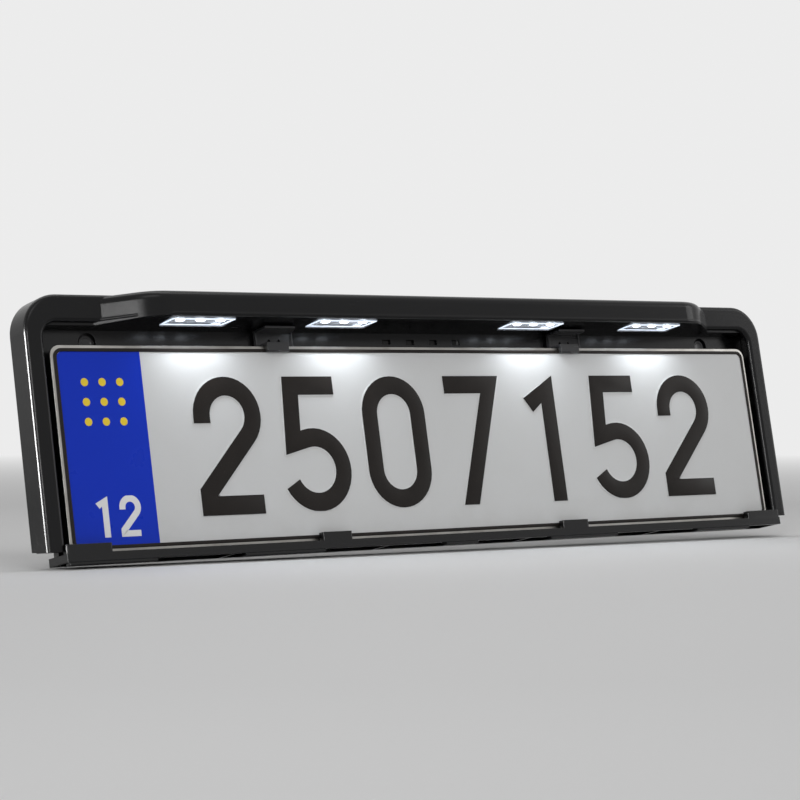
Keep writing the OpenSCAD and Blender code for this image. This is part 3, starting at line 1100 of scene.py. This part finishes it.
@dataclass
class Lamp:
    """One lamp under the hood: white tray, light domes, dark divider and the light that it throws.

    All sizes are in millimetres.
    """

    number: int
    tray_gap: tuple[float, float, float] = (0.6, 0.5, 0.04)
    tray_depth: float = 0.9
    tray_dish: float = 0.8
    tray_rim: float = 2.2
    dome_size: tuple[float, float, float] = (6.0, 3.6, 1.4)
    dome_end: float = 1.5
    dome_back: float = 6.2
    optic_depth: float = 1.2
    rim_gap: Point2 = (2.6, 1.7)
    rim_width: float = 1.1
    rim_depth: float = 0.5
    bar_back: float = 3.4
    bar_depth: float = 0.45
    light_gap: tuple[float, float, float] = (3.0, 2.5, 0.3)
    light_colour: Colour = (0.90, 0.95, 1.0)
    light_spread: float = 140.0
    power: float = 0.018

    def box_of(self, part: str) -> tuple[Vector, Vector]:
        """Give the box of one of the lamp's CAD nodes in millimetres.

        Args:
            part: lens, cap, board or chips.

        Returns:
            Its lowest and highest corner.
        """
        low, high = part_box(f"lamp_{self.number}_{part}")
        return low / MM, high / MM

    def tray(self, white: bpy.types.Material) -> None:
        """Make the dished white tray that frames the chips.

        Args:
            white: Its finish.
        """
        low, high = self.box_of("board")
        x, y, z = self.tray_gap
        top = low.z - z
        piece = Workpiece.box(
            f"lamp_{self.number}_tray",
            ((low.x + x) * MM, (low.y + y) * MM, (top - self.tray_depth) * MM),
            ((high.x - x) * MM, (high.y - y) * MM, top * MM),
        )
        with piece.edit("FACE"):
            piece.select("faces", lambda f: f.normal.z < -0.9)
            bpy.ops.mesh.inset(thickness=self.tray_rim * MM, depth=0)
            bpy.ops.mesh.extrude_region_move(TRANSFORM_OT_translate={"value": (0, 0, self.tray_dish * MM)})
            bpy.ops.transform.resize(value=(0.93, 0.82, 1.0))
        piece.bevel(0.18 * MM, 2, 30)
        piece.finish(white, "lamp_board")

    def domes(self, glow: bpy.types.Material) -> None:
        """Make the light dome that each chip throws on the pane.

        Args:
            glow: Its finish.
        """
        low, high = self.box_of("chips")
        pane, _ = self.box_of("lens")
        first = low.x + self.dome_end
        step = (high.x - low.x - 2 * self.dome_end) / 2
        level = pane.z + self.optic_depth
        bpy.ops.mesh.primitive_uv_sphere_add(
            segments=20, ring_count=10, radius=0.5,
            location=(first * MM, (pane.y + self.dome_back) * MM, level * MM),
        )
        piece = Workpiece(f"lamp_{self.number}_domes")
        piece.obj.scale = [size * MM for size in self.dome_size]
        piece.settle()
        with piece.edit():
            bpy.ops.mesh.select_all(action="SELECT")
            bpy.ops.mesh.bisect(plane_co=(0, 0, level * MM), plane_no=(0, 0, 1), clear_outer=True,
                                use_fill=True)
        piece.repeat(3, (step * MM, 0, 0))
        piece.finish(glow, "lamp_chips")

    def optic(self, dark: bpy.types.Material, bright: bpy.types.Material) -> None:
        """Make the bright rim inside the pane, the dark bar and the bright end block beside it.

        Args:
            dark: Finish of the bar.
            bright: Finish of the rim and the end block.
        """
        low, high = self.box_of("lens")
        gap_x, gap_y = self.rim_gap
        x0, x1, y0, y1 = low.x + gap_x, high.x - gap_x, low.y + gap_y, high.y - gap_y
        level = low.z + self.optic_depth
        bottom = level - self.rim_depth
        rim = Workpiece.box(f"lamp_{self.number}_rim", (x0 * MM, y0 * MM, bottom * MM),
                            (x1 * MM, y1 * MM, level * MM))
        rim.hollow(2, (bottom * MM, level * MM), self.rim_width * MM)
        rim.bevel(0.12 * MM, 2)
        rim.finish(bright, "lamp_lens")
        back = y1 - self.bar_back
        for part, left, right, half, segments, finish, slot in (
            ("bar", x0 + 4, x1 - 10, 1.0, 2, dark, "lamp_board"),
            ("guide", x1 - 8.5, x1 - 3.5, 1.6, 3, bright, "lamp_chips"),
        ):
            piece = Workpiece.box(
                f"lamp_{self.number}_{part}",
                (left * MM, (back - half) * MM, (level - self.bar_depth) * MM),
                (right * MM, (back + half) * MM, level * MM),
            )
            piece.bevel(0.2 * MM, segments)
            piece.finish(finish, slot)

    def light(self) -> None:
        """Add the light that falls from the pane onto the plate."""
        low, high = self.box_of("lens")
        x, y, z = self.light_gap
        lamp = area_light(
            f"lamp_{self.number}_light",
            ((low.x + high.x) / 2 * MM, (low.y + high.y) / 2 * MM, (low.z - z) * MM),
            ((high.x - low.x - 2 * x) * MM, (high.y - low.y - 2 * y) * MM),
            self.power,
            self.light_spread,
        )
        lamp.data.color = self.light_colour
        lamp.visible_glossy = False


@dataclass
class HolePlug:
    """Push-in cap in the recess of an unused upper mounting hole. Sizes are in millimetres."""

    side: Side
    across: float = 231.0
    level: float = 60.5
    radius: float = 4.4
    seat: float = -3.02
    thickness: float = 1.1

    def build(self, plastic: bpy.types.Material) -> None:
        """Make the cap with its dished face.

        Args:
            plastic: Its finish.
        """
        middle = (self.side.value * self.across * MM, (self.seat - self.thickness / 2) * MM, self.level * MM)
        piece = Workpiece.disc(f"hole_plug_{self.side.name.lower()}", self.radius * MM,
                               self.thickness * MM, middle, 40)
        with piece.edit("FACE"):
            piece.select("faces", lambda f: f.normal.y < -0.9)
            bpy.ops.mesh.inset(thickness=1.3 * MM, depth=0)
            bpy.ops.mesh.inset(thickness=0.3 * MM, depth=-0.35 * MM)
        piece.bevel(0.15 * MM, 2, 25)
        piece.finish(plastic, "carrier_plastic")


@dataclass
class VentShadeSheet:
    """Thin dark sheet behind the vent slots of the panel; it paints the shade seen through them. Sizes are in
    millimetres.
    """

    width: float = 57.0
    height: float = 7.0
    thickness: float = 0.3
    level: float = 62.0
    panel_back: float = -3.0

    def build(self, shade_finish: bpy.types.Material) -> None:
        """Make the dark strip that paints the shade seen through the slots.

        Args:
            shade_finish: Its finish.
        """
        back = self.panel_back + self.thickness
        piece = Workpiece.upright_plane("vent_gauze", self.width * MM, self.height * MM,
                                        (0, back * MM, self.level * MM))
        piece.round_corners(1.2 * MM, 5)
        piece.extrude(self.thickness * MM)
        piece.bevel(0.08 * MM, 2, 40)
        piece.finish(shade_finish, "carrier_plastic")


# --- Studio ---


@dataclass(frozen=True)
class PaleFloor:
    """Pale floor paper that fades into the backdrop and can't be seen from below."""

    name: str = "pale_floor"
    colour: Colour = (0.80, 0.80, 0.80)
    far: Colour = (0.84, 0.84, 0.84)
    fade: tuple[float, float] = (0.7, 2.6)

    def material(self) -> bpy.types.Material:
        """Build it.

        Returns:
            The material.
        """
        sh = Shader(self.name)
        fibres = sh.noise(0.002, 3.0)
        sh.set(
            Base_Color=sh.mix(fibres, self.colour, tuple(c * 0.985 for c in self.colour)),
            Roughness=0.85,
            Specular_IOR_Level=0.1,
        )
        distance = sh.add("VectorMath", Vector=sh.place)
        distance.operation = "LENGTH"
        far = sh.span(distance.outputs["Value"], 0.0, 1.0, *self.fade)
        light = sh.add("Emission", Color=(*self.far, 1.0), Strength=1.0)
        faded = sh.add("MixShader", Fac=far)
        sh.links.new(sh.surface.outputs[0], faded.inputs[1])
        sh.links.new(light.outputs[0], faded.inputs[2])
        back = sh.add("NewGeometry").outputs["Backfacing"]
        shown = sh.add("MixShader", Fac=back)
        sh.links.new(faded.outputs[0], shown.inputs[1])
        sh.links.new(sh.add("BsdfTransparent").outputs[0], shown.inputs[2])
        sh.links.new(shown.outputs[0], sh.output.inputs["Surface"])
        return sh.material


@dataclass
class Studio:
    """Floor, world, lights and camera. The camera's height and tilt are those of a low tripod."""

    up: tuple[float, float, float] = (0.0082, -0.1975, 0.9803)
    eye: tuple[float, float, float] = (-0.894593, -1.156957, -0.197970)
    gaze: tuple[float, float, float] = (0.5969, 0.7875, 0.1536)
    lens: float = 109.93
    backdrop: Colour = (0.84, 0.84, 0.84)
    fill: float = 0.22

    def floor(self) -> None:
        """Lay the floor under the lowest point of the holder."""
        up = Vector(self.up).normalized()
        level = min(up.dot(v.co) for obj in NODES.values() for v in obj.data.vertices)
        bpy.ops.mesh.primitive_circle_add(vertices=96, radius=6.0, fill_type="NGON")
        piece = Workpiece("floor")
        tilt = up.to_track_quat("Z", "Y").to_matrix().to_4x4()
        piece.obj.matrix_world = Matrix.Translation(up * (level - 0.0002)) @ tilt
        piece.settle()
        piece.obj.data.materials.append(PaleFloor().material())

    def world(self) -> None:
        """Light the scene evenly, with a pale backdrop where it is seen or mirrored."""
        world = bpy.data.worlds.new("studio")
        world.use_nodes = True
        bpy.context.scene.world = world
        tree = world.node_tree
        nodes, links = tree.nodes, tree.links
        seen = nodes["Background"]
        seen.inputs["Color"].default_value = (*self.backdrop, 1.0)
        soft = nodes.new("ShaderNodeBackground")
        soft.inputs["Color"].default_value = (1.0, 1.0, 1.0, 1.0)
        soft.inputs["Strength"].default_value = self.fill
        path = nodes.new("ShaderNodeLightPath")
        total: bpy.types.NodeSocket = path.outputs["Is Camera Ray"]
        for name in ("Is Glossy Ray", "Is Transmission Ray"):
            both = nodes.new("ShaderNodeMath")
            both.operation = "MAXIMUM"
            links.new(total, both.inputs[0])
            links.new(path.outputs[name], both.inputs[1])
            total = both.outputs[0]
        mix = nodes.new("ShaderNodeMixShader")
        links.new(total, mix.inputs["Fac"])
        links.new(soft.outputs[0], mix.inputs[1])
        links.new(seen.outputs[0], mix.inputs[2])
        links.new(mix.outputs[0], nodes["World Output"].inputs["Surface"])

    @staticmethod
    def softbox(name: str, place: Sequence[float], aim: Sequence[float], size: Point2, power: float,
                spread: float = 180.0, mirrored_only: bool = False) -> None:
        """Hang one softbox.

        Args:
            name: Its name.
            place: Where it hangs.
            aim: The point that it faces.
            size: Its width and height.
            power: Its power in watts.
            spread: Angle in degrees that its grid lets through.
            mirrored_only: Whether it shows only as a gleam and doesn't light matt surfaces.
        """
        box = area_light(name, place, size, power, spread)
        box.visible_diffuse = not mirrored_only
        box.rotation_mode = "QUATERNION"
        box.rotation_quaternion = (Vector(aim) - Vector(place)).to_track_quat("-Z", "Y")

    def lights(self) -> None:
        """Hang the softboxes."""
        self.softbox("key", (-0.5, -1.6, 1.4), (0, 0, 0), (1.2, 0.8), 5.9)
        self.softbox("front", (-1.35, -1.35, 0.28), (0.2, 0, 0), (0.5, 0.3), 1.0, 55.0)
        self.softbox("wall", (-1.4, 0.32, 0.22), (-0.27, -0.03, 0), (0.55, 0.3), 4.0, 40.0, True)
        self.softbox("top", (0.1, 0.1, 1.5), (0, 0, 0), (1.6, 0.5), 5.6)
        self.softbox("right", (1.6, -0.9, 0.5), (0.1, 0, 0), (0.5, 0.9), 3.5)

    def camera(self) -> None:
        """Set the camera up."""
        data = bpy.data.cameras.new("camera")
        data.lens = self.lens
        data.sensor_fit = "HORIZONTAL"
        data.sensor_width = 36.0
        data.clip_start, data.clip_end = 0.01, 100.0
        camera = bpy.data.objects.new("camera", data)
        ahead = Vector(self.gaze).normalized()
        right = ahead.cross(Vector(self.up)).normalized()
        above = right.cross(ahead)
        turn = Matrix((right, above, -ahead)).transposed().to_4x4()
        camera.matrix_world = Matrix.Translation(self.eye) @ turn
        bpy.context.scene.collection.objects.link(camera)
        bpy.context.scene.camera = camera

    def build(self) -> None:
        """Set up the whole studio."""
        bpy.context.scene.view_settings.view_transform = "Standard"
        self.floor()
        self.world()
        self.lights()
        self.camera()
        log.info("studio set up")


# --- The whole holder ---


def corners(pair: Sequence[Vector]) -> list[list[float]]:
    """Give a box's corners as plain numbers.

    Args:
        pair: Lowest and highest corner.

    Returns:
        The same as lists.
    """
    return [[float(c) for c in corner] for corner in pair]


def main() -> None:
    """Dress the frame, build the new pieces and set up the studio."""
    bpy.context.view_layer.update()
    satin = MouldedPlastic("cover_plastic").material()
    gloss = MouldedPlastic("carrier_plastic", gloss=0.30, roughness=0.2, grain=0.000006, dust=0.02).material()
    latch_finish = MouldedPlastic("latch_plastic", (0.016, 0.016, 0.017), 0.38, 0.28, 0.00001)
    latch = latch_finish.material()
    metal = RolledAluminium().material()
    ink = FoilInk().material()
    white = ReflectiveSheeting("white_sheeting", (0.62, 0.625, 0.625), (0.42, 0.41, 0.385)).material()
    blue_film = ReflectiveSheeting("blue_sheeting", (0.001, 0.030, 0.50), (0.01, 0.04, 0.30), 0.30, 0.15)
    blue = blue_film.material()
    print_white = ReflectiveSheeting("print_white", (0.80, 0.80, 0.80), (0.6, 0.6, 0.6)).material()
    print_yellow = ReflectiveSheeting("print_yellow", (0.85, 0.62, 0.03), (0.6, 0.45, 0.1)).material()
    tray = WhiteReflector().material()
    dome = Glow("light_dome", (0.86, 0.93, 1.0), 8.0).material()
    guide = Glow("light_guide", (0.74, 0.84, 1.0), 0.95).material()
    pane = ClearLens().material()
    dress(satin, "cover")
    dress(gloss, "carrier")
    for side in Side:
        softened(f"latch_{side.name.lower()}", 0.3 * MM, latch, "latch_plastic")
        HolePlug(side).build(latch)
    dress(ZincSteel().material(), "cover_screws")
    rubber = SoftRubber().material()
    dress(rubber, "cable_grommet")
    # A dark sheet behind the vent slots paints the shade seen through them.
    VentShadeSheet().build(rubber)
    for n in range(1, 5):
        dress(gloss, f"lamp_{n}_cap")
        dress(tray, f"lamp_{n}_board")
        dress(dome, f"lamp_{n}_chips")
        dress(pane, f"lamp_{n}_lens")
        lamp = Lamp(n)
        lamp.tray(tray)
        lamp.domes(dome)
        lamp.optic(gloss, guide)
        lamp.light()
    plate = NumberPlate()
    plate.blank(metal)
    plate.bead(ink)
    plate.films(white, blue)
    plate.characters(ink, white)
    plate.band_print(print_white, print_yellow)
    Studio().build()


if __name__ == "__main__":
    logging.basicConfig(level=logging.INFO, format="%(message)s")
    main()
